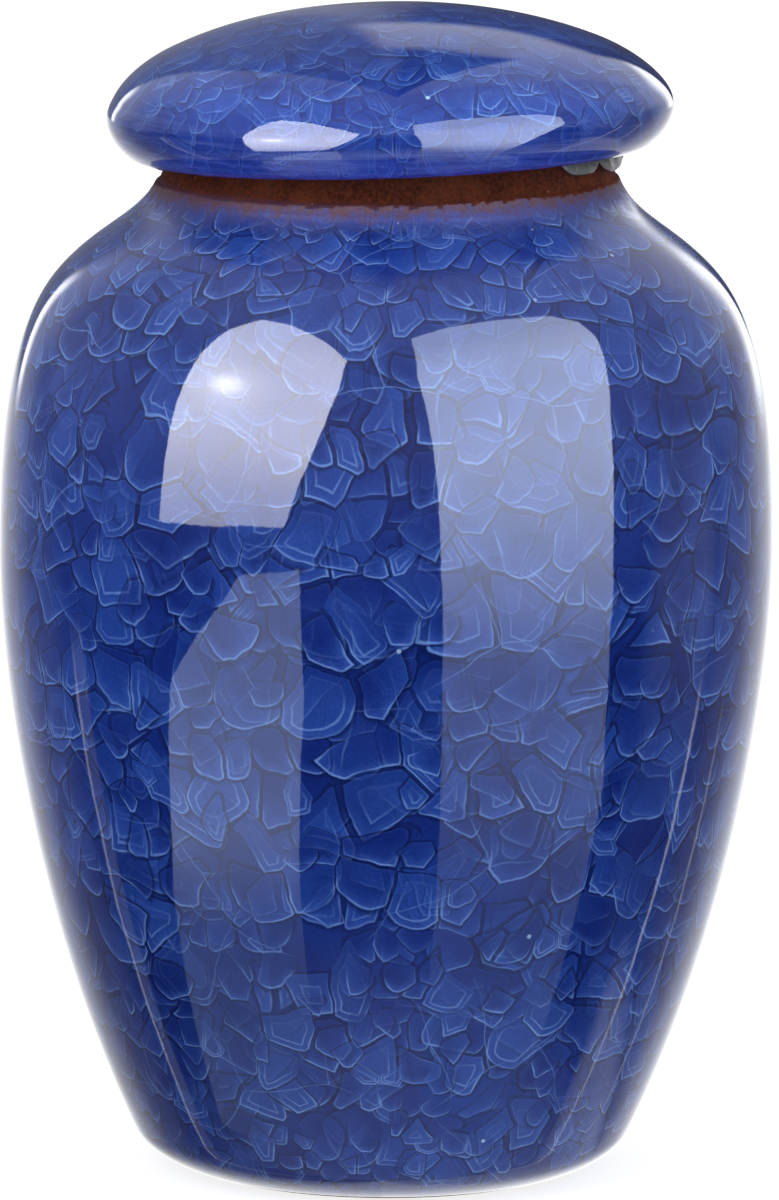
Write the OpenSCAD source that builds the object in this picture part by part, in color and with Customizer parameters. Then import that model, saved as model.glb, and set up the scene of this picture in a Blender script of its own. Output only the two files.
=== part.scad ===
// Lidded stoneware urn. Millimetres, +Z up, origin at the centre of the foot on the floor.
// Three pieces: the hollow body, the hollow lid that lifts straight off, and the
// silicone seal ring worn by the lid's locating collar.
// Every profile lies in the (radius, height) plane. An angle of 0 points outward, 90 points up.
// The front of the urn faces -Y.

/* [Foot] */
// Radius where the flat foot ends and the rounded base corner begins
foot_radius = 40.6; // [38:0.1:44]
// Inner radius of the ring that touches the floor
foot_ring_inner_radius = 31; // [20:0.5:36]
// Depth of the shallow recess under the base
foot_recess = 2.2; // [1:0.1:4]
// Angle at which the base corner leaves the foot
foot_corner_angle = 11; // [4:1:25]

/* [Body] */
// Radius where the base corner becomes the rising wall
wall_start_radius = 55.1; // [50:0.1:60]
// Height where the base corner becomes the rising wall
wall_start_height = 8.7; // [6:0.1:12]
// Slope of the wall as it leaves the base corner
wall_start_angle = 64.5; // [58:0.5:72]
// Largest radius of the belly
belly_radius = 85.2; // [80:0.1:90]
// Height of the largest radius
belly_height = 137.7; // [128:0.1:146]
// Radius where the shoulder turns from convex to concave
shoulder_radius = 66.3; // [62:0.1:70]
// Height of that turning point
shoulder_height = 204.4; // [198:0.1:208]
// Direction of the profile at the turning point
shoulder_angle = 141; // [132:1:150]
// Outer radius of the glazed neck
neck_radius = 49.05; // [47.5:0.05:52]
// Height where the neck curve ends
neck_height = 225; // [222:0.1:226]
// Height of the rim of the mouth
rim_height = 226.3; // [226:0.1:230]

/* [Walls] */
// Thickness of the body wall
wall = 6; // [4:0.1:8]
// Thickness of the floor above the foot ring
floor_thickness = 9; // [7:0.1:12]
// Inner radius of the neck
mouth_radius = 44.2; // [43.6:0.1:45.5]
// Glaze thickness, which the bare clay under the lid lacks
glaze = 0.5; // [0.2:0.1:0.8]
// Height where the glaze stops and bare clay begins
glaze_edge_height = 219.4; // [217:0.1:222]

/* [Lid] */
// Largest radius of the rolled rim
lid_radius = 62.3; // [58:0.1:66]
// Height of that widest point above the seat
lid_widest_above_seat = 5.85; // [4:0.05:9]
// Radius of the shoulder of the dome
lid_shoulder_radius = 47.2; // [44:0.1:52]
// Height of the dome shoulder above the seat
lid_shoulder_above_seat = 20.3; // [16:0.1:24]
// Height of the dome's crown above the seat
lid_crown_above_seat = 28.8; // [24:0.05:34]
// How far the rolled rim hangs below the seat at its inner edge
lid_drop = 2.8; // [1:0.1:4]
// Radius of the inner edge of the rolled rim
lid_drop_radius = 51.3; // [50.8:0.1:53]
// Thickness of the lid's wall
lid_wall = 5.4; // [4:0.1:7]
// Outer radius of the locating collar
collar_radius = 41; // [39:0.1:41.2]
// Thickness of the collar's wall
collar_wall = 4.2; // [3:0.1:6]
// Depth of the collar below the seat
collar_depth = 14; // [8:0.5:18]

/* [Fit of the lid] */
// Lean of the lid, its +X side raised by the bunched seal
lid_lean = 2.3; // [0:0.1:2.5]
// Second lean of the lid, its front raised
lid_nod = 0.4; // [0:0.02:0.8]
// Sideways shift of the lid
lid_shift_x = 0.65; // [0:0.05:0.7]
// Backward shift of the lid
lid_shift_y = 1.0; // [0:0.05:1.1]
// Height of the seat above the rim, measured on the urn's axis
seat_above_rim = 2.08; // [2.06:0.02:3]

/* [Seal] */
// Radial thickness of the seal's sleeve
seal_thickness = 0.9; // [0.6:0.05:0.95]
// Height of the seal's sleeve
seal_sleeve = 8; // [5:0.5:10]
// How far the bunched folds stand out from the bare neck
seal_reach = 1.45; // [1.35:0.05:1.5]
// How much further the free edge of a fold flares below the lid
seal_flare = 1.3; // [0:0.1:1.4]
// Thickness of one fold of the seal
seal_fold = 0.8; // [0.6:0.1:0.9]

/* [Hidden] */
$fn = 96;
e = 0.01;
clear = 0.12;
seat_height = rim_height + seat_above_rim;
lean_pivot = 222;

// ---------- curves in the (radius, height) plane ----------
function dir(a) = [cos(a), sin(a)];
// Cubic curve from p to q that leaves at angle a and arrives at angle b; k and m are its pulls.
function curve(p, a, k, q, b, m, t) =
    let (u = 1 - t, c = p + k*dir(a), d = q - m*dir(b))
    u*u*u*p + 3*u*u*t*c + 3*u*t*t*d + t*t*t*q;
function slope(p, a, k, q, b, m, t) =
    let (u = 1 - t, c = p + k*dir(a), d = q - m*dir(b),
         v = 3*u*u*(c - p) + 6*u*t*(d - c) + 3*t*t*(q - d))
    v / norm(v);
// The same curve moved inward, to the left of its direction of travel, by w.
function inside(p, a, k, q, b, m, t, w) =
    let (s = slope(p, a, k, q, b, m, t))
    curve(p, a, k, q, b, m, t) + w*[-s[1], s[0]];
function run(p, a, k, q, b, m, n, from = 0, w = 0) =
    [for (i = [from : n]) inside(p, a, k, q, b, m, i/n, w)];

// ---------- body ----------
P_foot = [foot_radius, 0];
P_wall = [wall_start_radius, wall_start_height];
P_belly = [belly_radius, belly_height];
P_turn = [shoulder_radius, shoulder_height];
P_neck = [neck_radius, neck_height];
rise = belly_height - wall_start_height;
fall = shoulder_height - belly_height;

function wall_low(n, from, w) = run(P_wall, wall_start_angle, 0.386*rise,
    P_belly, 90, 0.222*rise, n, from, w);
function wall_high(n, from, w) = run(P_belly, 90, 0.708*fall,
    P_turn, shoulder_angle, 0.208*fall, n, from, w);
function neck_at(t) = curve(P_turn, shoulder_angle, 10, P_neck, 96, 11, t);
// The parameter at which the neck curve reaches height z, by halving.
function neck_param(z, a = 0, b = 1, left = 22) = left == 0 ? (a + b)/2 :
    let (m = (a + b)/2) neck_at(m)[1] < z ? neck_param(z, m, b, left - 1)
                                          : neck_param(z, a, m, left - 1);
// The glazed neck, a rounded step at the glaze edge, then bare clay set back by the glaze.
function neck_run(n) = let (g = neck_param(glaze_edge_height)) concat(
    [for (i = [1 : n - 1]) neck_at(g*i/n)],
    [neck_at(g) - [glaze*0.12, 0.25], neck_at(g) - [glaze*0.5, 0], neck_at(g) - [glaze, 0]],
    [for (i = [1 : 4]) neck_at(g + (1 - g)*i/4) - [glaze, 0]]);

module body_section() {
    outer = concat(
        [[0, foot_recess], [foot_ring_inner_radius - 2, foot_recess],
         [foot_ring_inner_radius - 0.6, foot_recess*0.4], [foot_ring_inner_radius + 0.5, 0]],
        run(P_foot, foot_corner_angle, 5.3, P_wall, wall_start_angle, 5.5, 7),
        wall_low(16, 1, 0), wall_high(12, 1, 0), neck_run(10));
    rim = [[neck_radius - glaze - 0.35, rim_height - 0.4], [neck_radius - glaze - 1.1, rim_height],
           [mouth_radius + 1.2, rim_height], [mouth_radius + 0.35, rim_height - 0.35],
           [mouth_radius, rim_height - 1.2]];
    // The cavity follows the outside at the wall's thickness, then closes on a rounded floor.
    low = wall_low(16, 2, wall);
    high = wall_high(10, 1, wall);
    throat = run([mouth_radius, rim_height - 7], 270, 7,
        high[len(high) - 1], shoulder_angle - 180, 8, 7);
    base = run(low[0], wall_start_angle + 182, 9, [32, floor_thickness], 180, 12, 6);
    polygon(concat(outer, rim, throat,
        [for (i = [len(high) - 2 : -1 : 0]) high[i]],
        [for (i = [len(low) - 1 : -1 : 1]) low[i]],
        base, [[0, floor_thickness]]));
}

module urn_body() {
    color([0.12, 0.22, 0.55]) rotate_extrude() body_section();
}

// ---------- lid ----------
// Heights here are measured from the seat.
L_drop = [lid_drop_radius, -lid_drop];
L_wide = [lid_radius, lid_widest_above_seat];
L_shoulder = [lid_shoulder_radius, lid_shoulder_above_seat];
L_crown = [0, lid_crown_above_seat];

module lid_section() {
    roll = run(L_drop, -38.5, 5.7, L_wide, 90, 5.4, 10);
    side = run(L_wide, 90, 4, L_shoulder, 157, 10.5, 9, 1);
    dome = run(L_shoulder, 157, 12.5, L_crown, 180, 21, 11, 1);
    collar_in = collar_radius - collar_wall;
    // The cavity keeps the wall's thickness under the dome and over the seat.
    dome_in = run(L_shoulder, 157, 12.5, L_crown, 180, 21, 8, 0, lid_wall);
    side_in = run([collar_in, lid_wall + 1.6], 12, 17, dome_in[0], 152, 17, 9);
    polygon(concat(
        [[collar_radius, 0], [lid_drop_radius - 2.2, 0], [lid_drop_radius - 0.9, -lid_drop*0.42]],
        roll, side, dome,
        [[0, lid_crown_above_seat - lid_wall]],
        [for (i = [len(dome_in) - 2 : -1 : 0]) dome_in[i]],
        [for (i = [len(side_in) - 2 : -1 : 0]) side_in[i]],
        [[collar_in, 1.5 - collar_depth], [collar_in + 0.8, 0.3 - collar_depth],
         [collar_in + 1.6, -collar_depth], [collar_radius - 1.6, -collar_depth],
         [collar_radius - 0.6, 0.5 - collar_depth], [collar_radius, 1.8 - collar_depth]]));
}

// Carries anything worn by the lid, modelled upright with the seat at z = 0, to its place.
module set_on_mouth() {
    translate([lid_shift_x, lid_shift_y, lean_pivot])
    rotate([-lid_nod, 0, 0]) rotate([0, -lid_lean, 0])
    translate([0, 0, seat_height - lean_pivot]) children();
}

module lid() {
    color([0.16, 0.27, 0.58]) set_on_mouth() rotate_extrude() lid_section();
}

// ---------- seal ----------
// A fold of the seal squeezed out over the rim: it lies on the rim, bulges past its edge,
// hangs over it with its free edge flared, and doubles back under the lid. Angles are from the front (-Y) towards +X,
// and heights are from the lid's seat.
module fold(from, to, hang) {
    bare = neck_radius - glaze;
    out = bare + seal_reach;
    lip = out + seal_flare;
    top = -0.15;
    low = clear - seat_above_rim - 0.765*(collar_radius + 2)*sin(lid_lean);
    back = max(low + seal_fold + 0.35, top - seal_fold);
    rotate([0, 0, from - 90]) rotate_extrude(angle = to - from) polygon([
        [collar_radius + clear + seal_thickness/2, low], [bare + 0.35, low],
        [bare + 0.65, low - 0.5], [out - seal_fold, low - 1], [lip - seal_fold, low - hang + 0.3],
        [lip - 0.5, low - hang], [lip, low - hang + 0.6], [lip, low - 1.7],
        [out, low - 0.5], [out, low + (top - low)*0.35],
        [out - 0.15, low + (top - low)*0.52], [out - 0.6, low + (top - low)*0.78],
        [out - 1.3, top - 0.15], [out - 2.2, top],
        [collar_radius + 2.3, top], [collar_radius + 2.3, back],
        [out - 2.3, back], [out - 1.2, low + (back - low)*0.7],
        [out - 0.9, low + seal_fold], [collar_radius + clear + seal_thickness/2, low + seal_fold]]);
}

module seal_ring() {
    color([0.72, 0.74, 0.70]) set_on_mouth() union() {
        // the sleeve stretched around the collar
        translate([0, 0, -seal_sleeve - 1.2]) difference() {
            cylinder(r = collar_radius + clear + seal_thickness, h = seal_sleeve);
            translate([0, 0, -1]) cylinder(r = collar_radius + clear, h = seal_sleeve + 2);
        }
        fold(50, 66, 4.2);
        fold(68, 101, 4);
    }
}

urn_body();
lid();
seal_ring();
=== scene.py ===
# Looks of the lidded urn: crackle-glazed body, leaning crackle-glazed lid, bunched silicone seal.
# Lengths in the shape code are millimetres, turned into metres when a mesh is made.
import math

import bpy
import numpy as np
from mathutils import Matrix, Vector, noise


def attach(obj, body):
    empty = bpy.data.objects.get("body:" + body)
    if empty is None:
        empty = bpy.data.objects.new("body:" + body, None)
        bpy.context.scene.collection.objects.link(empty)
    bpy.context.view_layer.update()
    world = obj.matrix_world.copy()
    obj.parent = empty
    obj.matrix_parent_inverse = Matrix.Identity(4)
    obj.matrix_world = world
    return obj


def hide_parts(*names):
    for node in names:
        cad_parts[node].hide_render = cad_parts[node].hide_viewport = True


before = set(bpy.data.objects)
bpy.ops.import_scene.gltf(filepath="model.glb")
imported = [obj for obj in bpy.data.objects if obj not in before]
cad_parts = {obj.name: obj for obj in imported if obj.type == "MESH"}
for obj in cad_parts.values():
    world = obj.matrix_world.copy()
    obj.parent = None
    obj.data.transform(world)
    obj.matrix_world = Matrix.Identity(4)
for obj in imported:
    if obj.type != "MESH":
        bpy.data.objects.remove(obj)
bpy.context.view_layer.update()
MM = 0.001


# ---------------------------------------------------------------- profiles (radius, height)
def direction(a):
    return np.array([math.cos(math.radians(a)), math.sin(math.radians(a))])


def run(p, a, k, q, b, m, n, first=0, w=0.0):
    """Points on a cubic that leaves p at angle a and reaches q at angle b, moved inward by w."""
    p, q = np.array(p, float), np.array(q, float)
    c, d = p + k * direction(a), q - m * direction(b)
    out = []
    for i in range(first, n + 1):
        t = i / n
        u = 1 - t
        x = u**3 * p + 3 * u * u * t * c + 3 * u * t * t * d + t**3 * q
        s = 3 * u * u * (c - p) + 6 * u * t * (d - c) + 3 * t * t * (q - d)
        s = s / np.linalg.norm(s)
        out.append(x + w * np.array([-s[1], s[0]]))
    return out


FOOT, WALL0, BELLY = (40.6, 0), (55.1, 8.7), (85.2, 137.7)
TURN, NECK = (66.3, 204.4), (49.05, 225.0)
RISE, FALL = 137.7 - 8.7, 204.4 - 137.7
RIM, MOUTH, GLAZE, GLAZE_EDGE = 226.3, 44.2, 0.5, 219.4
NECK_LINE = np.array(run(TURN, 141, 10, NECK, 96, 11, 400))


def neck_radius(z):
    return float(np.interp(z, NECK_LINE[:, 1], NECK_LINE[:, 0]))


def glaze_edge(phi):
    """Height where the glaze ends, by direction (0 is the front, 90 degrees is +X)."""
    wave = noise.noise(Vector((3 * math.sin(phi), 3 * math.cos(phi), 7.3)))
    fine = noise.noise(Vector((11 * math.sin(phi), 11 * math.cos(phi), 2.1)))
    return GLAZE_EDGE - 0.1 + 0.85 * math.sin(phi) + 0.5 * wave + 0.22 * fine


def body_path():
    out = [(r, 2.2) for r in (3, 12, 21, 27, 29)]
    out += [(29.6, 1.85), (30.1, 1.2), (30.5, 0.6), (30.9, 0.15), (31.5, 0), (34, 0), (37.5, 0)]
    out += run(FOOT, 11, 5.3, WALL0, 64.5, 5.5, 12)
    out += run(WALL0, 64.5, 0.386 * RISE, BELLY, 90, 0.222 * RISE, 64, 1)
    out += run(BELLY, 90, 0.708 * FALL, TURN, 141, 0.208 * FALL, 46, 1)
    lip0 = 216.6
    low = [p for p in NECK_LINE[8:] if p[1] < lip0 - 0.2]
    out += low[::10]
    out += [(neck_radius(z), z) for z in np.arange(lip0, 222.6, 0.2)]
    out += [(neck_radius(z), z) for z in (223.2, 224.0, 224.9)]
    bare = 49.05 - GLAZE
    out += [(bare, 225.6), (bare - 0.2, 226.0), (bare - 0.6, 226.25), (bare - 1.2, RIM)]
    out += [(MOUTH + 1.4, RIM), (MOUTH + 0.6, 226.15), (MOUTH + 0.15, 225.7), (MOUTH, 225.0), (MOUTH, 222.4)]
    high = run(BELLY, 90, 0.708 * FALL, TURN, 141, 0.208 * FALL, 14, 1, 6)
    low_in = run(WALL0, 64.5, 0.386 * RISE, BELLY, 90, 0.222 * RISE, 20, 2, 6)
    out += run((MOUTH, RIM - 7), 270, 7, high[-1], -39, 8, 7)
    out += high[-2::-1]
    out += low_in[::-1]
    out += run(low_in[0], 246.5, 9, (32, 9), 180, 12, 6, 1)
    out += [(22, 9), (11, 9), (3, 9)]
    return np.array(out), 2.2, 9.0


def lid_path():
    wall, inner = 5.4, 41 - 4.2
    drop, wide, shoulder, crown = (51.3, -2.8), (62.3, 5.85), (47.2, 20.3), (0, 28.78)
    dome = run(shoulder, 157, 12.5, crown, 180, 21, 40, 1)
    side = run(wide, 90, 4, shoulder, 157, 10.5, 34, 1)
    roll = run(drop, -38.5, 5.7, wide, 90, 5.4, 30)
    dome_in = run(shoulder, 157, 12.5, crown, 180, 21, 16, 0, wall)
    side_in = run((inner, wall + 1.6), 12, 17, dome_in[0], 152, 17, 12)
    out = dome[::-1][1:]
    out += side[::-1]
    out += [np.array(wide)] + roll[::-1][1:]
    out += [(50.9, -1.9), (50.4, -1.18), (49.8, -0.4), (49.1, 0), (46, 0), (43, 0), (41.3, 0), (41, -0.3)]
    out += [(41, -3), (41, -7), (41, -11), (41, -12.2), (40.8, -12.9), (40.4, -13.5), (39.4, -14)]
    out += [(38.4, -14), (37.6, -13.7), (37.0, -13.1), (inner, -12.5), (inner, -8), (inner, -3), (inner, 2)]
    out += side_in
    out += dome_in[1:-1]
    return np.array(out), 28.78, 28.8 - wall


# ---------------------------------------------------------------- meshes
def revolve(name, path, first_z, last_z, segments, move):
    """Closed surface of revolution with a pole at each end. move(points) reshapes it."""
    ang = np.linspace(0, 2 * math.pi, segments, endpoint=False)
    r = path[:, 0][:, None]
    pts = np.stack([r * np.sin(ang), -r * np.cos(ang), np.repeat(path[:, 1][:, None], segments, 1)], 2)
    pts = pts.reshape(-1, 3)
    pts = np.vstack([pts, [[0, 0, first_z], [0, 0, last_z]]])
    pts = move(pts)
    n, k = len(path), segments
    faces = []
    for i in range(n - 1):
        a, b = i * k, (i + 1) * k
        for j in range(k):
            j2 = (j + 1) % k
            faces.append((a + j, a + j2, b + j2, b + j))
    p0, p1 = n * k, n * k + 1
    for j in range(k):
        j2 = (j + 1) % k
        faces.append((p0, j2, j))
        faces.append((p1, (n - 1) * k + j, (n - 1) * k + j2))
    ob = mesh(name, pts, faces)
    # the distance along the profile from the first pole, for laying the crackle on the surface
    line = np.vstack([[0, first_z], path, [0, last_z]])
    arc = np.concatenate([[0], np.cumsum(np.linalg.norm(np.diff(line, axis=0), axis=1))])
    # a third coordinate stretches where the radius is small, so that flakes keep their shape there
    grow = (78.0 / np.clip(0.5 * (line[1:, 0] + line[:-1, 0]), 36, 90)) ** 0.8
    even = np.concatenate([[0], np.cumsum(np.linalg.norm(np.diff(line, axis=0), axis=1) * grow)])
    per = np.concatenate([np.repeat(arc[1:-1], k), [0.0, arc[-1]]])
    tall = np.concatenate([np.repeat(even[1:-1], k), [0.0, even[-1]]])
    turn = np.concatenate([np.tile(ang, n), [0.0, 0.0]])
    chart = np.stack([per * np.sin(turn), -per * np.cos(turn), tall], 1)
    ob.data.attributes.new("chart", "FLOAT_VECTOR", "POINT").data.foreach_set("vector", chart.ravel())
    return ob


def mesh(name, pts_mm, faces):
    me = bpy.data.meshes.new(name)
    me.from_pydata([tuple(p) for p in np.asarray(pts_mm) * MM], [], faces)
    me.update()
    me.shade_smooth()
    ob = bpy.data.objects.new(name, me)
    bpy.context.scene.collection.objects.link(ob)
    return ob


def wobble(p, size, seed):
    return noise.noise(Vector((p[0] / size + seed, p[1] / size - seed, p[2] / size + 2 * seed)))


def shape_body(pts):
    n_out = len(OUTER)
    out = pts.copy()
    for i, p in enumerate(pts[:-2]):
        r = math.hypot(p[0], p[1])
        if r < 1e-6:
            continue
        u = np.array([p[0] / r, p[1] / r])
        phi = math.atan2(p[0], -p[1])
        ring = i // BODY_SEGMENTS
        dr = 0.0
        if ring < n_out:
            z = p[2]
            if 212 < z < 225.2 and r < 60:
                h = z - glaze_edge(phi)
                if h >= 0:
                    dr -= GLAZE
                elif h > -0.55:
                    dr += -GLAZE + (GLAZE + 0.05) * math.sqrt(max(0.0, 1 - ((h + 0.55) / 0.55) ** 2))
                else:
                    dr += 0.05 * math.exp(-(((h + 0.55) / 1.1) ** 2))
                if h >= 0:
                    dr += 0.05 * wobble(p, 1.6, 5.0)
            if 3 < z < 216:
                swell = min(1.0, (z - 3) / 20)
                dr -= swell * (0.07 * (1 + wobble(p, 42, 1.0)) + 0.022 * (1 + wobble(p, 13, 4.0)))
        out[i, :2] = u * (r + dr)
    return out


LEAN, NOD, SEAT, PIVOT = math.radians(2.3), math.radians(0.4), 228.38, 222.0


def on_mouth(pts):
    """From the lid's own upright frame, with its seat at z = 0, to its leaning place."""
    m = (Matrix.Translation((0.65, 1.0, PIVOT)) @ Matrix.Rotation(-NOD, 4, "X")
         @ Matrix.Rotation(-LEAN, 4, "Y") @ Matrix.Translation((0, 0, SEAT - PIVOT)))
    m = np.array(m)
    return pts @ m[:3, :3].T + m[:3, 3]


def shape_lid(pts):
    out = on_mouth(pts)
    for i in range(len(out)):
        p = out[i]
        if p[2] > 236:
            out[i, 0] -= 2.2 * min(1.0, (p[2] - 236) / 20)
        q = pts[i]
        if q[2] > -2 and math.hypot(q[0], q[1]) > 5 and i < LID_OUTER * LID_SEGMENTS:
            r = math.hypot(q[0], q[1])
            inward = 0.06 * (1 + wobble(q, 34, 8.0)) + 0.02 * (1 + wobble(q, 11, 3.0))
            out[i, 0] -= q[0] / r * inward
            out[i, 1] -= q[1] / r * inward
    return out


OUTER = [p for p in body_path()[0]]
BODY_SEGMENTS, LID_SEGMENTS = 300, 320
path, z0, z1 = body_path()
outer_count = int(np.argmax(path[:, 1]) + 1)
OUTER = path[:outer_count]
body = revolve("urn_body_glazed", path, z0, z1, BODY_SEGMENTS, shape_body)
lid_line, l0, l1 = lid_path()
LID_OUTER = int(np.argmin(np.abs(lid_line[:, 0] - 50.9) + np.abs(lid_line[:, 1] + 1.9)))
lid = revolve("lid_glazed", lid_line, l0, l1, LID_SEGMENTS, shape_lid)


def seal_mesh():
    """The sleeve on the collar, and two ruffled folds squeezed out over the rim at the raised side."""
    pts, faces = [], []
    r0, r1, z0, z1, n = 41.14, 42.0, -9.2, -1.2, 160
    section = [(r0, z0 + 0.3), (r0 + 0.3, z0), (r1 - 0.3, z0), (r1, z0 + 0.3),
               (r1, z1 - 0.3), (r1 - 0.3, z1), (r0 + 0.3, z1), (r0, z1 - 0.3)]
    for j in range(n):
        a = 2 * math.pi * j / n
        for r, z in section:
            pts.append((r * math.sin(a), -r * math.cos(a), z))
    m = len(section)
    for j in range(n):
        j2 = (j + 1) % n
        for i in range(m):
            i2 = (i + 1) % m
            faces.append((j * m + i, j * m + i2, j2 * m + i2, j2 * m + i))
    folds = [dict(a=46.5, b=63.5, hang=3.7, peak=0.58, reach=51.1, seed=1.3, power=0.42, fat=0.75),
             dict(a=63.0, b=91.0, hang=4.3, peak=0.3, reach=51.0, seed=6.1, power=0.42, fat=0.7),
             dict(a=90.0, b=103.0, hang=3.0, peak=0.3, reach=50.9, seed=9.7, power=0.8, fat=0.6)]
    for f in folds:
        rows, cols = 46, 26
        base = len(pts)
        grid = []
        for i in range(rows + 1):
            u = i / rows
            # the free edge hangs lowest at the fold's peak and tapers to both ends
            v = u / f["peak"] if u < f["peak"] else (1 - u) / (1 - f["peak"])
            env = math.sin(0.5 * math.pi * min(1, max(0, v))) ** f["power"]
            phi = math.radians(f["a"] + (f["b"] - f["a"]) * u)
            ruffle = noise.noise(Vector((u * 5 + f["seed"], 0.3, 1.7)))
            fine = noise.noise(Vector((u * 13 + f["seed"], 2.3, 0.7)))
            low = -3.35 - f["hang"] * env + 0.35 * ruffle
            reach = 50.1 + (f["reach"] - 50.1) * env
            line = run((43.6, -1.9 - 0.5 * fine), 20, 3.0, (reach - 0.35 + 0.25 * ruffle, min(low, -3.7)),
                       -88 + 14 * fine, 2.2 + 2.0 * env, cols)
            for k, (r, z) in enumerate(line):
                t = k / cols
                sag = 0.28 * math.sin(7 * t + 9 * u + f["seed"]) * t
                th = f["fat"] * (0.55 + 0.45 * math.sin(math.pi * min(1, t * 1.02)) + 0.25 * (t > 0.85) * (1 - t) / 0.15)
                grid.append((r + sag * 0.25, z + sag * 0.3, th, phi))
        w = cols + 1
        for side in (1, -1):
            for i in range(rows + 1):
                for k in range(w):
                    r, z, th, phi = grid[i * w + k]
                    ra, za = grid[i * w + max(0, k - 1)][:2]
                    rb, zb = grid[i * w + min(cols, k + 1)][:2]
                    tx, tz = rb - ra, zb - za
                    le = math.hypot(tx, tz) or 1
                    edge = 0.12 if k in (0, cols) or i in (0, rows) else 1
                    o = side * th * 0.5 * edge
                    rr, zz = r + tz / le * -o, z + tx / le * o
                    rr = min(rr, 51.75)
                    pts.append((rr * math.sin(phi), -rr * math.cos(phi), zz))
        n0, n1 = base, base + (rows + 1) * w
        for i in range(rows):
            for k in range(cols):
                a = i * w + k
                faces.append((n0 + a, n0 + a + 1, n0 + a + w + 1, n0 + a + w))
                faces.append((n1 + a, n1 + a + w, n1 + a + w + 1, n1 + a + 1))
        border = [k for k in range(w)] + [i * w + cols for i in range(1, rows + 1)]
        border += [rows * w + k for k in range(cols - 1, -1, -1)] + [i * w for i in range(rows - 1, 0, -1)]
        for x, y in zip(border, border[1:] + border[:1]):
            faces.append((n0 + y, n0 + x, n1 + x, n1 + y))
    return mesh("seal_bunched", on_mouth(np.array(pts, float)), faces)


seal = seal_mesh()


# ---------------------------------------------------------------- node helper
class Nodes:
    """Short spellings for shader nodes. A value is a socket, a number or a tuple."""

    def __init__(self, tree):
        self.tree = tree
        tree.nodes.clear()

    def new(self, kind, **props):
        n = self.tree.nodes.new(kind)
        for k, v in props.items():
            setattr(n, k, v)
        return n

    def put(self, socket, value):
        if isinstance(value, bpy.types.NodeSocket):
            self.tree.links.new(value, socket)
        elif isinstance(value, (tuple, list)) and len(value) == 3 and socket.type == "RGBA":
            socket.default_value = (*value, 1)
        else:
            socket.default_value = value

    def math(self, op, a, b=None, c=None, clamp=False):
        n = self.new("ShaderNodeMath", operation=op, use_clamp=clamp)
        for s, v in zip(n.inputs, (a, b, c)):
            if v is not None:
                self.put(s, v)
        return n.outputs[0]

    def add(self, a, b):
        return self.math("ADD", a, b)

    def sub(self, a, b):
        return self.math("SUBTRACT", a, b)

    def mul(self, a, b):
        return self.math("MULTIPLY", a, b)

    def step(self, x, lo, hi, a=0.0, b=1.0):
        n = self.new("ShaderNodeMapRange", interpolation_type="SMOOTHSTEP", clamp=True)
        for i, v in enumerate((x, lo, hi, a, b)):
            self.put(n.inputs[i], v)
        return n.outputs[0]

    def vec(self, op, a, b=None):
        n = self.new("ShaderNodeVectorMath", operation=op)
        self.put(n.inputs[0], a)
        if b is not None:
            self.put(n.inputs["Scale"] if op == "SCALE" else n.inputs[1], b)
        return n.outputs["Value"] if op in ("DOT_PRODUCT", "LENGTH", "DISTANCE") else n.outputs["Vector"]

    def xyz(self, v):
        n = self.new("ShaderNodeSeparateXYZ")
        self.put(n.inputs[0], v)
        return n.outputs

    def join(self, x, y, z):
        n = self.new("ShaderNodeCombineXYZ")
        for s, v in zip(n.inputs, (x, y, z)):
            self.put(s, v)
        return n.outputs[0]

    def noise(self, v, scale, detail=2.0, rough=0.5, color=False, distort=0.0):
        n = self.new("ShaderNodeTexNoise", noise_dimensions="3D")
        self.put(n.inputs["Vector"], v)
        n.inputs["Scale"].default_value = scale
        n.inputs["Detail"].default_value = detail
        n.inputs["Roughness"].default_value = rough
        n.inputs["Distortion"].default_value = distort
        return n.outputs["Color" if color else "Fac"]

    def voronoi(self, v, feature="F1", scale=1.0, random=1.0, dims="3D"):
        n = self.new("ShaderNodeTexVoronoi", voronoi_dimensions=dims, feature=feature)
        self.put(n.inputs["Vector"], v)
        n.inputs["Scale"].default_value = scale
        n.inputs["Randomness"].default_value = random
        return n.outputs

    def mix(self, fac, a, b, blend="MIX"):
        n = self.new("ShaderNodeMix", data_type="RGBA", blend_type=blend)
        self.put(n.inputs[0], fac)
        self.put(n.inputs[6], a)
        self.put(n.inputs[7], b)
        return n.outputs[2]

    def blend(self, fac, a, b):
        n = self.new("ShaderNodeMix", data_type="FLOAT")
        self.put(n.inputs[0], fac)
        self.put(n.inputs[2], a)
        self.put(n.inputs[3], b)
        return n.outputs[0]


def srgb(r, g, b):
    return tuple(c / 255 / 12.92 if c / 255 <= 0.04045 else ((c / 255 + 0.055) / 1.055) ** 2.4 for c in (r, g, b))


def material(name):
    m = bpy.data.materials.new(name)
    m.use_nodes = True
    return m, Nodes(m.node_tree)


# ---------------------------------------------------------------- crackle glaze
DEEP, FLAKE, PALE = srgb(17, 41, 126), srgb(46, 80, 172), srgb(74, 104, 196)
LINE, SHADOW = srgb(138, 166, 238), srgb(12, 27, 86)


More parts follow.
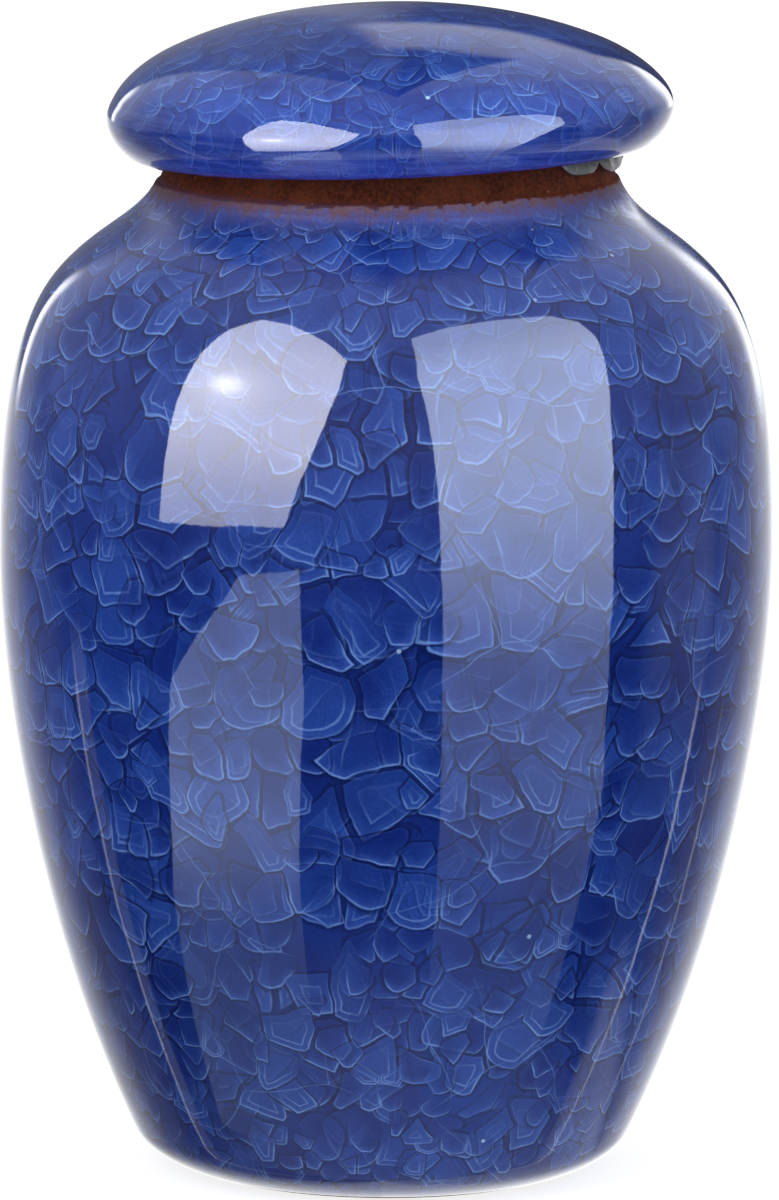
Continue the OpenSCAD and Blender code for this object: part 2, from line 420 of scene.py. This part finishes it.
def flakes(g, col, uv, p, size, seed, amount, strength, line_strength, ringed=0.5):
    """One sheet of ice-like flakes: shrunken polygons with a lit lower edge and a shadow beside it."""
    q = g.vec("SCALE", g.vec("ADD", uv, (seed * 37.3, seed * -29.1, 0.0)), 1.0 / size)
    cell = g.voronoi(q, "F1", 1.0, 0.93, "2D")
    edge = g.mul(g.voronoi(q, "DISTANCE_TO_EDGE", 1.0, 0.93, "2D")["Distance"], size)
    r1, r2, r3 = g.xyz(cell["Color"])[:3]
    shrink = g.mul(g.math("POWER", r1, 2.0), size * 0.13)
    # a flake is its cell cut round, so that its corners are blunt
    round_cut = g.mul(g.sub(g.add(0.6, g.mul(r3, 0.2)), cell["Distance"]), size)
    d = g.math("SMOOTH_MIN", g.sub(edge, shrink), round_cut, size * 0.05)
    here = g.step(r2, 1 - amount - 0.02, 1 - amount + 0.02)
    inside = g.mul(g.step(d, -0.05, 0.2), here)
    from_centre = g.vec("SUBTRACT", q, cell["Position"])
    down = g.mul(g.xyz(from_centre)[1], -1.0)
    slant = g.mul(g.vec("DOT_PRODUCT", from_centre, g.vec("SUBTRACT", cell["Color"], (0.5, 0.5, 0.5))), 1.4)
    # each flake is darker at its top, where the one above shades it, and lit toward its lower edge
    tone = g.add(g.add(g.mul(r3, 0.62), g.mul(down, 0.62)), g.add(slant, 0.14))
    face = g.mix(g.step(tone, 0.0, 0.9), DEEP, FLAKE)
    lower = g.step(g.add(down, g.mul(slant, 0.5)), -0.12, 0.34)
    glow = g.mul(g.step(d, 2.6, 0.0), g.add(0.05, g.mul(lower, 0.6)))
    face = g.mix(glow, face, PALE)
    # some flakes carry a smaller one inside
    ring = g.sub(d, g.add(size * 0.13, g.mul(r1, size * 0.1)))
    nested = g.step(r3, 1 - ringed, 1 - ringed + 0.03)
    face = g.mix(g.mul(g.mul(g.step(ring, -0.05, 0.15), nested), 0.22), face, PALE)
    shade = g.mul(g.mul(g.step(d, -1.6, 0.0), g.step(d, 0.08, -0.02)), here)
    out = g.mix(g.mul(shade, 0.85 * strength), col, SHADOW)
    out = g.mix(g.mul(inside, g.add(0.55 * strength, g.mul(r1, 0.35 * strength))), out, face)
    thick = g.add(0.15, g.mul(lower, 0.22))
    rim = g.mul(g.step(g.math("DIVIDE", g.math("ABSOLUTE", g.sub(d, 0.2)), thick), 1.0, 0.15), here)
    rim = g.mul(rim, g.add(0.10, g.mul(lower, 0.9)))
    rim = g.mul(rim, g.step(g.noise(p, 0.13, 2, 0.6), 0.34, 0.62, 0.25, 1.0))
    ring_line = g.mul(g.mul(g.step(g.math("ABSOLUTE", ring), 0.36, 0.05), nested), here)
    ring_line = g.mul(ring_line, g.add(0.10, g.mul(lower, 0.6)))
    rim = g.math("MAXIMUM", rim, ring_line)
    return g.mix(g.mul(rim, line_strength), out, LINE)


def crackle(g, uv, p, contrast=1.0, tint=(0.68, 0.88, 1.0), murk=None):
    """Colour of the crackle glaze at surface point uv and object point p, both in millimetres."""
    warp = g.vec("SCALE", g.vec("SUBTRACT", g.noise(p, 0.045, 1, 0.5, True), (0.5, 0.5, 0.5)), 9.0)
    warp2 = g.vec("SCALE", g.vec("SUBTRACT", g.noise(p, 0.2, 1, 0.5, True), (0.5, 0.5, 0.5)), 1.3)
    w = g.vec("ADD", g.vec("ADD", uv, warp), warp2)
    cloud = g.noise(p, 0.022, 3, 0.55)
    patch = g.noise(g.vec("ADD", p, (40, 13, 9)), 0.05, 2, 0.5)
    col = g.mix(g.step(cloud, 0.36, 0.66), srgb(20, 42, 124), srgb(32, 60, 150))
    col = flakes(g, col, w, p, 8.5, 3.0, 0.85, 0.85 * contrast, 0.46 * contrast, 0.25)
    col = flakes(g, col, w, p, 14.0, 7.0, 0.60, 1.0 * contrast, 0.80 * contrast)
    col = flakes(g, col, w, p, 11.0, 12.0, 0.48, 1.0 * contrast, 0.86 * contrast, 0.35)
    col = flakes(g, col, w, p, 7.0, 21.0, 0.22, 0.9 * contrast, 0.8 * contrast, 0.2)
    # long fractures that cross the flakes
    q = g.vec("SCALE", g.vec("ADD", w, (-31, 17, 5)), 1 / 34.0)
    crack = g.mul(g.voronoi(q, "DISTANCE_TO_EDGE", 1.0, 1.0, "2D")["Distance"], 34.0)
    crack = g.mul(g.step(crack, 0.26, 0.04), g.step(patch, 0.44, 0.62))
    col = g.mix(g.mul(crack, 0.42 * contrast), col, LINE)
    # milky cloud in the glaze, and fine grain
    milk = g.step(g.noise(p, 0.07, 4, 0.6), 0.42, 0.8)
    col = g.mix(g.mul(milk, 0.25), col, srgb(56, 82, 168))
    grain = g.noise(p, 1.4, 2, 0.6)
    col = g.mix(0.35, col, g.mix(grain, (0, 0, 0), (1, 1, 1)), "SOFT_LIGHT")
    if murk is not None:
        col = g.mix(murk, col, srgb(27, 54, 140))
    # sparse painted glints (painted highlights) and dark pits
    dots = g.voronoi(g.vec("ADD", p, (5, 5, 5)), "F1", 0.11)
    lit = g.xyz(dots["Color"])
    col = g.mix(g.mul(g.mul(g.step(dots["Distance"], 0.07, 0.04), g.step(lit[0], 0.82, 0.84)), 0.85), col, srgb(190, 205, 245))
    col = g.mix(g.mul(g.mul(g.step(dots["Distance"], 0.06, 0.03), g.step(lit[1], 0.9, 0.92)), 0.9), col, srgb(18, 20, 48))
    return g.mix(1.0, col, tint, "MULTIPLY")


def glaze_bump(g, p):
    b1 = g.new("ShaderNodeBump")
    b1.inputs["Strength"].default_value = 0.35
    b1.inputs["Distance"].default_value = 0.00006
    g.put(b1.inputs["Height"], g.noise(p, 0.12, 2, 0.5))
    b2 = g.new("ShaderNodeBump")
    b2.inputs["Strength"].default_value = 0.22
    b2.inputs["Distance"].default_value = 0.00001
    g.put(b2.inputs["Height"], g.noise(p, 0.9, 2, 0.5))
    g.put(b2.inputs["Normal"], b1.outputs[0])
    return b2.outputs[0]


def object_mm(g):
    t = g.new("ShaderNodeTexCoord")
    return g.vec("SCALE", t.outputs["Object"], 1000.0)


def clay_colour(g, p):
    grain = g.noise(p, 1.1, 4, 0.7)
    patch = g.noise(p, 0.12, 2, 0.5)
    c = g.mix(g.step(grain, 0.3, 0.72), srgb(38, 12, 6), srgb(104, 46, 20))
    c = g.mix(g.mul(g.step(patch, 0.4, 0.75), 0.45), c, srgb(122, 60, 30))
    # toward the glaze the clay carries a granular grey-violet flash
    z = g.xyz(p)[2]
    flash = g.mul(g.step(g.add(z, g.mul(g.sub(grain, 0.5), 3.0)), 219.6, 217.4), g.step(z, 205.0, 210.0))
    c = g.mix(g.mul(flash, 0.75), c, g.mix(g.noise(p, 2.2, 2, 0.6), srgb(34, 24, 40), srgb(112, 92, 128)))
    # sparse pale specks on the clay: painted glints (painted highlights)
    pale = g.voronoi(p, "F1", 0.55)
    lit = g.mul(g.step(pale["Distance"], 0.13, 0.06), g.step(g.xyz(pale["Color"])[0], 0.78, 0.84))
    return g.mix(g.mul(lit, 0.7), c, srgb(196, 160, 136))


def body_material():
    m, g = material("crackle_glaze_body")
    p = object_mm(g)
    x, y, z = g.xyz(p)[:3]
    radius = g.math("SQRT", g.add(g.mul(x, x), g.mul(y, y)))
    # unrolled surface: round the body and along its profile, joined at the back by a wandering fracture
    arc = g.xyz(g.new("ShaderNodeAttribute", attribute_name="chart").outputs["Vector"])[2]
    phi = g.math("ARCTAN2", x, g.mul(y, -1.0))
    wander = g.sub(g.mul(g.noise(g.join(0.0, 0.0, z), 0.035, 3, 0.6), 0.9), math.pi)
    wrapped = g.add(phi, g.mul(g.math("LESS_THAN", phi, wander), 2 * math.pi))
    uv = g.join(g.mul(wrapped, 78.0), arc, 0.0)
    col = crackle(g, uv, p, 1.0, (0.90, 1.16, 1.28), g.step(z, 110.0, 12.0, 0.0, 0.08))
    col = g.mix(g.mul(g.step(z, 176.0, 198.0), 0.6), col, g.mix(1.0, col, (0.94, 0.96, 0.88), "MULTIPLY"))
    # painted light: the lower body brightened, except at its left; painted shade: the lower left darkened
    col = g.mix(g.mul(g.step(z, 74.0, 10.0), g.step(x, -50.0, 0.0)), col, g.mix(1.0, col, (1.35, 1.35, 1.22), "MULTIPLY"))
    col = g.mix(g.mul(g.step(z, 96.0, 40.0), g.step(x, 5.0, -45.0)), col, g.mix(1.0, col, (0.86, 0.82, 0.80), "MULTIPLY"))
    seam = g.mul(g.math("ABSOLUTE", g.sub(phi, wander)), 78.0)
    col = g.mix(g.step(seam, 0.5, 0.1, 0.0, 0.45), col, LINE)
    # under the mouth the glaze thins: blue to violet to brown, then bare clay
    sin_phi = g.math("DIVIDE", x, g.math("MAXIMUM", radius, 1.0))
    edge = g.add(GLAZE_EDGE - 0.15, g.mul(sin_phi, 0.85))
    h = g.sub(z, edge)
    speck = g.noise(p, 0.8, 3, 0.7)
    drip = g.noise(g.vec("MULTIPLY", p, (1, 1, 0.25)), 0.35, 2, 0.6)
    thin = g.add(h, g.add(g.mul(g.sub(speck, 0.5), 5.0), g.mul(g.sub(drip, 0.5), 4.5)))
    lift = g.mul(g.step(h, -14.0, -6.0), 0.45)
    col = g.mix(lift, col, g.mix(1.0, col, (1.6, 1.3, 0.95), "MULTIPLY"))
    col = g.mix(g.mul(g.step(thin, -7.5, -3.0), 0.75), col, srgb(40, 42, 104))
    col = g.mix(g.mul(g.step(thin, -4.4, -1.6), 0.85), col, g.mix(g.noise(p, 2.2, 2, 0.6), srgb(30, 20, 40), srgb(84, 62, 92)))
    col = g.mix(g.mul(g.step(thin, -2.6, -0.6), 0.8), col, srgb(60, 26, 16))
    # tiny painted glints (painted highlights) in the glaze below the band
    dots = g.voronoi(p, "F1", 0.42)
    zone = g.mul(g.step(h, -16.0, -3.0), g.step(h, 1.0, -1.0))
    painted_glint = g.mul(g.mul(g.step(dots["Distance"], 0.13, 0.07), zone), g.step(g.xyz(dots["Color"])[0], 0.8, 0.85))
    col = g.mix(g.mul(painted_glint, 0.8), col, srgb(225, 215, 225))
    b = g.new("ShaderNodeBsdfPrincipled")
    g.put(b.inputs["Base Color"], col)
    dull = g.step(thin, -7.0, -1.5)
    soft = g.step(h, -26.0, -10.0, 0.035, 0.2)
    g.put(b.inputs["Roughness"], g.blend(dull, soft, 0.7))
    b.inputs["IOR"].default_value = 1.5
    grit = g.new("ShaderNodeBump")
    grit.inputs["Distance"].default_value = 0.0002
    g.put(grit.inputs["Strength"], g.mul(dull, 0.6))
    g.put(grit.inputs["Height"], g.noise(p, 1.3, 4, 0.7))
    g.put(grit.inputs["Normal"], glaze_bump(g, p))
    g.put(b.inputs["Normal"], grit.outputs[0])
    out = g.new("ShaderNodeOutputMaterial")
    g.put(out.inputs[0], b.outputs[0])
    return m


def lid_material():
    m, g = material("crackle_glaze_lid")
    p = object_mm(g)
    x, y, z = g.xyz(p)[:3]
    chart = g.xyz(g.new("ShaderNodeAttribute", attribute_name="chart").outputs["Vector"])
    col = crackle(g, g.vec("SCALE", g.join(chart[0], chart[1], 0.0), 1.25), g.vec("ADD", p, (13, 71, -8)), 0.64, (1.55, 2.15, 2.15))
    # horizontal smears toward the left of the dome, a paler rim, a greyer crown
    smear = g.noise(g.vec("MULTIPLY", p, (0.35, 0.35, 2.2)), 0.22, 3, 0.6)
    high = g.step(z, 238.0, 252.0)
    left = g.step(x, 15.0, -40.0)
    col = g.mix(g.mul(g.mul(g.step(smear, 0.42, 0.7), high), g.mul(left, 0.5)), col, srgb(96, 116, 178))
    col = g.mix(g.mul(high, 0.35), col, srgb(66, 82, 142))
    col = g.mix(g.mul(high, 0.8), col, g.mix(1.0, col, (0.62, 0.66, 0.72), "MULTIPLY"))
    col = g.mix(g.mul(g.step(z, 242.0, 228.0), 0.6), col, srgb(54, 74, 174))
    # painted shade: the lid's left and right ends darkened
    ends = g.step(g.math("ABSOLUTE", x), 36.0, 58.0)
    col = g.mix(g.mul(ends, 0.7), col, g.mix(1.0, col, (0.55, 0.52, 0.50), "MULTIPLY"))
    # painted reflection: horizontal streaks of reflected light on the lower rim
    reflection_streaks = g.noise(g.vec("MULTIPLY", p, (0.12, 0.12, 3.0)), 0.35, 3, 0.65)
    rim = g.mul(g.step(reflection_streaks, 0.42, 0.72), g.step(z, 241.0, 230.0))
    col = g.mix(g.mul(rim, 0.6), col, srgb(112, 130, 226))
    b = g.new("ShaderNodeBsdfPrincipled")
    g.put(b.inputs["Base Color"], col)
    b.inputs["Roughness"].default_value = 0.04
    b.inputs["IOR"].default_value = 1.5
    g.put(b.inputs["Normal"], glaze_bump(g, p))
    out = g.new("ShaderNodeOutputMaterial")
    g.put(out.inputs[0], b.outputs[0])
    return m


def clay_material():
    m, g = material("bare_stoneware")
    p = object_mm(g)
    b = g.new("ShaderNodeBsdfPrincipled")
    g.put(b.inputs["Base Color"], clay_colour(g, p))
    b.inputs["Roughness"].default_value = 0.9
    b.inputs["Specular IOR Level"].default_value = 0.12
    grit = g.new("ShaderNodeBump")
    grit.inputs["Distance"].default_value = 0.00025
    grit.inputs["Strength"].default_value = 0.7
    g.put(grit.inputs["Height"], g.noise(p, 1.3, 4, 0.7))
    g.put(b.inputs["Normal"], grit.outputs[0])
    out = g.new("ShaderNodeOutputMaterial")
    g.put(out.inputs[0], b.outputs[0])
    return m


def seal_material():
    m, g = material("silicone_seal")
    p = object_mm(g)
    x, y, z = g.xyz(p)[:3]
    mottled = g.noise(p, 0.45, 3, 0.6)
    col = g.mix(mottled, srgb(92, 97, 88), srgb(146, 148, 138))
    tip = g.mul(g.step(x, 46.5, 50.8), g.step(z, 228.0, 225.0))
    col = g.mix(g.mul(tip, 0.75), col, srgb(190, 176, 178))
    b = g.new("ShaderNodeBsdfPrincipled")
    g.put(b.inputs["Base Color"], col)
    b.inputs["Roughness"].default_value = 0.42
    b.inputs["IOR"].default_value = 1.41
    b.inputs["Subsurface Weight"].default_value = 0.25
    b.inputs["Subsurface Scale"].default_value = 0.001
    bump = g.new("ShaderNodeBump")
    bump.inputs["Strength"].default_value = 0.4
    bump.inputs["Distance"].default_value = 0.0002
    g.put(bump.inputs["Height"], g.noise(p, 1.6, 3, 0.6))
    g.put(b.inputs["Normal"], bump.outputs[0])
    out = g.new("ShaderNodeOutputMaterial")
    g.put(out.inputs[0], b.outputs[0])
    return m


def bare_faces(ob, test):
    centres = np.zeros(len(ob.data.polygons) * 3)
    ob.data.polygons.foreach_get("center", centres)
    centres = centres.reshape(-1, 3) / MM
    ob.data.polygons.foreach_set("material_index", np.array([int(test(i, c)) for i, c in enumerate(centres)], "i"))


def bare_body(i, c):
    """Bare clay: above the glaze edge, over the rim and inside, and where the foot stands."""
    if i >= (outer_count - 1) * BODY_SEGMENTS or c[2] < 0.9 or (c[2] < 3 and math.hypot(c[0], c[1]) < 33):
        return True
    if c[2] < 212:
        return False
    # the glaze breaks up into grains over the last two millimetres
    grains = noise.noise(Vector((c[0] * 0.9, c[1] * 0.9, c[2] * 0.9))) + 0.5 * noise.noise(Vector((c[0] * 0.3, c[1] * 0.3, 5.0)))
    return c[2] > glaze_edge(math.atan2(c[0], -c[1])) - 0.5 + 1.1 * min(0.0, grains - 0.1)


def bare_lid(i, c):
    """Bare clay: everything inside the rolled rim. The small faces round the crown's pole stay glazed."""
    return i >= (LID_OUTER - 1) * LID_SEGMENTS and c[2] < 255


clay = clay_material()
for ob, mat, node, slot in ((body, body_material(), "urn_body", "body_glaze"),
                            (lid, lid_material(), "lid", "lid_glaze"),
                            (seal, seal_material(), "seal_ring", "seal_silicone")):
    ob.data.materials.append(mat)
    if ob is not seal:
        ob.data.materials.append(clay)
        bare_faces(ob, bare_body if ob is body else bare_lid)
    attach(ob, "root")
    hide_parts(node)

# ---------------------------------------------------------------- stage
scene = bpy.context.scene
scene.view_settings.view_transform = "Standard"


def emitter(name, build):
    m, g = material(name)
    e = g.new("ShaderNodeEmission")
    build(g, e)
    out = g.new("ShaderNodeOutputMaterial")
    g.put(out.inputs[0], e.outputs[0])
    return m


def card(name, azimuth, distance, outline, build):
    """A soft light panel seen only in reflections. outline is (sideways, height) in millimetres."""
    a = math.radians(azimuth)
    u = np.array([math.sin(a), -math.cos(a), 0])
    v = np.array([math.cos(a), math.sin(a), 0])
    pts = [u * distance + v * s + np.array([0, 0, h]) for s, h in outline]
    me = bpy.data.meshes.new(name)
    me.from_pydata([tuple(p * MM) for p in pts], [], [tuple(range(len(pts)))])
    me.update()
    uv = me.attributes.new("panel", "FLOAT_VECTOR", "POINT")
    for i, (s, h) in enumerate(outline):
        uv.data[i].vector = (s, h, 0)
    ob = bpy.data.objects.new(name, me)
    scene.collection.objects.link(ob)
    me.materials.append(emitter(name, build))
    ob.visible_camera = ob.visible_diffuse = ob.visible_shadow = ob.visible_transmission = False
    return ob


def panel_xy(g):
    n = g.new("ShaderNodeAttribute", attribute_name="panel")
    return g.xyz(n.outputs["Vector"])


def left_window(g, e):
    s, h = panel_xy(g)[:2]
    level = g.blend(g.step(h, 145, 190), 6.0, 11.8)
    level = g.blend(g.step(h, 235, 300), level, 10.0)
    ds, dh = g.mul(g.sub(s, 9), 0.7), g.sub(h, 214)
    spot = g.math("SQRT", g.add(g.mul(ds, ds), g.mul(dh, dh)))
    level = g.add(level, g.step(spot, 30, 0, 0, 4.0))
    level = g.add(level, g.step(spot, 11, 2, 0, 8.0))
    e.inputs["Color"].default_value = (0.97, 0.98, 1.04, 1)
    g.put(e.inputs["Strength"], level)


def right_window(g, e):
    s, h = panel_xy(g)[:2]
    level = g.blend(g.step(h, 0, 90), 0.6, 1.6)
    level = g.add(level, g.step(h, 90, 188, 0.0, 6.4))
    level = g.blend(g.step(h, 240, 320), level, 6.0)
    e.inputs["Color"].default_value = (0.88, 0.98, 1.18, 1)
    g.put(e.inputs["Strength"], level)


def veil(g, e):
    s, h = panel_xy(g)[:2]
    e.inputs["Color"].default_value = (0.86, 0.98, 1.2, 1)
    g.put(e.inputs["Strength"], g.blend(g.step(h, 0, 48), 0.7, 2.3))


card("panel_left", -42, 150, [(-25, 148), (-24, 166), (-23, 186), (-21, 213), (-20, 246), (-18, 289), (-8, 335), (22, 331), (65, 299), (91, 269), (88, 228), (79, 198), (70, 178), (61, 162), (54, 150)], left_window)
card("panel_left_low", -42, 150, [(-20, 95), (28, 134), (65, 136), (66, 87), (60, 51), (54, 12), (48, -120), (-100, -120), (-51, 13), (-34, 53)], veil)
card("panel_right", 45, 150, [(-84, -120), (30, -120), (27, 58), (20, 82), (16, 110), (16, 137), (18, 163), (21, 189), (31, 223), (44, 260), (54, 307), (42, 340), (-10, 350), (-61, 362), (-116, 349), (-114, 250), (-105, 200), (-100, 171), (-97, 150), (-95, 124), (-93, 83), (-91, 44)], right_window)

# a low curved flag over the front of the lid, so that seen from behind the dome does not mirror the panels
turns = [math.radians(a) for a in range(-92, 98, 5)]
flag_mesh = bpy.data.meshes.new("lid_flag")
flag_mesh.from_pydata([(0.072 * math.sin(a), -0.072 * math.cos(a), z) for a in turns for z in (0.2549, 0.322)], [],
                      [(2 * i, 2 * i + 2, 2 * i + 3, 2 * i + 1) for i in range(len(turns) - 1)])
flag = bpy.data.objects.new("lid_flag", flag_mesh)
scene.collection.objects.link(flag)


def flag_glow(g, e):
    e.inputs["Strength"].default_value = 0.86


flag_mesh.materials.append(emitter("lid_flag", flag_glow))
flag.visible_camera = flag.visible_diffuse = flag.visible_shadow = flag.visible_transmission = False

world = bpy.data.worlds.new("studio")
scene.world = world
world.use_nodes = True
g = Nodes(world.node_tree)
tc = g.new("ShaderNodeTexCoord")
dx, dy, dz = g.xyz(tc.outputs["Generated"])[:3]
az = g.mul(g.math("ARCTAN2", dx, g.mul(dy, -1.0)), 180 / math.pi)
el = g.mul(g.math("ARCSINE", dz), 180 / math.pi)
aza = g.math("ABSOLUTE", az)
up_part = g.step(el, 2, 12)
right_gain = g.step(az, -20, 20, 1.0, 1.25)
side_low = g.add(g.step(aza, 100, 128, 0, 0.28), g.step(aza, 128, 153, 0, 0.52))
side_up = g.add(g.step(aza, 96, 116, 0, 0.55), g.step(aza, 125, 145, 0, 0.3))
level = g.add(g.step(el, -14, 14, 0.04, 0.62), g.step(el, 30, 60, 0, 0.3))
level = g.math("MAXIMUM", g.mul(level, g.step(aza, 150, 120)), g.mul(right_gain, g.blend(up_part, side_low, side_up)))
level = g.math("MAXIMUM", level, g.mul(g.mul(g.step(az, 80, 92), g.step(az, 122, 108)), g.step(el, -24, -10, 0.12, 0.5)))
streak = g.mul(g.step(g.math("ABSOLUTE", g.sub(az, -109.0)), 0.9, 0.35), g.step(el, -12, -18))
level = g.add(level, g.mul(streak, 1.7))
streak = g.mul(g.step(g.math("ABSOLUTE", g.sub(az, -106.0)), 3.2, 1.5), g.step(el, -10, -16))
level = g.math("MAXIMUM", level, g.mul(streak, 0.42))
bend = g.add(111.8, g.mul(g.add(el, 18.0), 0.26))
streak = g.mul(g.step(g.math("ABSOLUTE", g.sub(az, bend)), 0.9, 0.35), g.step(el, -14, -19))
level = g.add(level, g.mul(streak, 2.2))
streak = g.mul(g.step(g.math("ABSOLUTE", g.sub(az, 127.5)), 0.8, 0.3), g.step(el, -14, -19))
level = g.add(level, g.mul(streak, 0.8))
low = g.mul(g.step(el, -34, -50), g.step(az, -97, -60, 0.28, 0.62))
level = g.math("MAXIMUM", level, low)
low = g.mul(g.step(el, -28, -34), g.step(az, 94, 103, 0, 0.95))
level = g.math("MAXIMUM", level, low)
level = g.add(level, g.mul(g.step(aza, 150, 172, 0, 0.6), g.step(el, 0, -5)))
turn = g.math("MODULO", g.add(az, 360.0), 360.0)
back_left = g.mul(g.mul(g.step(turn, 207, 203.5), g.step(turn, 179, 184)), g.step(el, -5, -2))
level = g.blend(back_left, level, 0.25)
back_right = g.mul(g.mul(g.step(turn, 163, 165.5), g.step(turn, 184, 179)), g.step(el, -3.5, -1))
level = g.blend(back_right, level, 0.08)
fade = g.mul(g.step(turn, 211.5, 206.5), g.step(turn, 203.5, 205.5))
level = g.add(level, g.mul(g.mul(fade, g.mul(g.step(el, -5, -1), g.step(el, 19, 12))), 3.0))
fade = g.mul(g.step(turn, 148, 161), g.step(turn, 165, 162.5))
level = g.add(level, g.mul(g.mul(fade, g.mul(g.step(el, -6, -2), g.step(el, 20, 14))), 2.4))
arc = g.mul(g.mul(g.step(turn, 148, 158), g.step(turn, 184, 181)), g.mul(g.step(el, 22, 27), g.step(el, 45, 40)))
level = g.blend(arc, level, 1.05)
lp = g.new("ShaderNodeLightPath")
not_glossy = g.blend(lp.outputs["Is Camera Ray"], g.step(dz, -0.5, 0.7, 0.27, 0.62), 1.0)
strength = g.blend(lp.outputs["Is Glossy Ray"], not_glossy, level)
bg = g.new("ShaderNodeBackground")
bg.inputs["Color"].default_value = (1, 1, 1, 1)
g.put(bg.inputs["Strength"], strength)
wo = g.new("ShaderNodeOutputWorld")
g.put(wo.inputs[0], bg.outputs[0])


def area(name, place, aim, size, energy):
    data = bpy.data.lights.new(name, "AREA")
    data.shape = "SQUARE"
    data.size = size
    data.energy = energy
    ob = bpy.data.objects.new(name, data)
    scene.collection.objects.link(ob)
    ob.location = place
    ob.rotation_euler = (Vector(aim) - Vector(place)).to_track_quat("-Z", "Y").to_euler()
    ob.visible_glossy = False
    ob.visible_camera = False
    return ob


area("soft_key", (-0.9, -1.3, 1.2), (0, 0, 0.13), 0.9, 6)
area("soft_fill", (1.1, -1.2, 0.8), (0, 0, 0.13), 0.9, 2.5)

floor_mesh = bpy.data.meshes.new("floor")
floor_mesh.from_pydata([(-8, -6, 0), (8, -6, 0), (8, 9, 0), (-8, 9, 0)], [], [(0, 1, 2, 3)])
floor = bpy.data.objects.new("floor", floor_mesh)
scene.collection.objects.link(floor)
fm, g = material("pale_floor")
d = g.new("ShaderNodeBsdfDiffuse")
d.inputs["Color"].default_value = (0.45, 0.45, 0.45, 1)
e = g.new("ShaderNodeEmission")
e.inputs["Strength"].default_value = 0.84
s = g.new("ShaderNodeAddShader")
g.put(s.inputs[0], d.outputs[0])
g.put(s.inputs[1], e.outputs[0])
o = g.new("ShaderNodeOutputMaterial")
g.put(o.inputs[0], s.outputs[0])
floor_mesh.materials.append(fm)
floor.visible_glossy = False
floor.visible_diffuse = False

# ---------------------------------------------------------------- camera
cam_data = bpy.data.cameras.new("camera")
cam_data.sensor_fit = "AUTO"
cam_data.sensor_width = 36
cam_data.lens = 304.74
cam_data.clip_start = 0.05
cam_data.clip_end = 60
cam = bpy.data.objects.new("camera", cam_data)
scene.collection.objects.link(cam)
eye, aim = Vector((0.0008, -2.2098, 0.4699)), Vector((0.0008, 0.0, 0.1257))
fwd = (aim - eye).normalized()
right = fwd.cross(Vector((0, 0, 1))).normalized()
up = right.cross(fwd)
roll = math.radians(0.45)
rx = right * math.cos(roll) + up * math.sin(roll)
ry = up * math.cos(roll) - right * math.sin(roll)
cam.matrix_world = Matrix((
    (rx.x, ry.x, -fwd.x, eye.x),
    (rx.y, ry.y, -fwd.y, eye.y),
    (rx.z, ry.z, -fwd.z, eye.z),
    (0, 0, 0, 1)))
scene.camera = cam
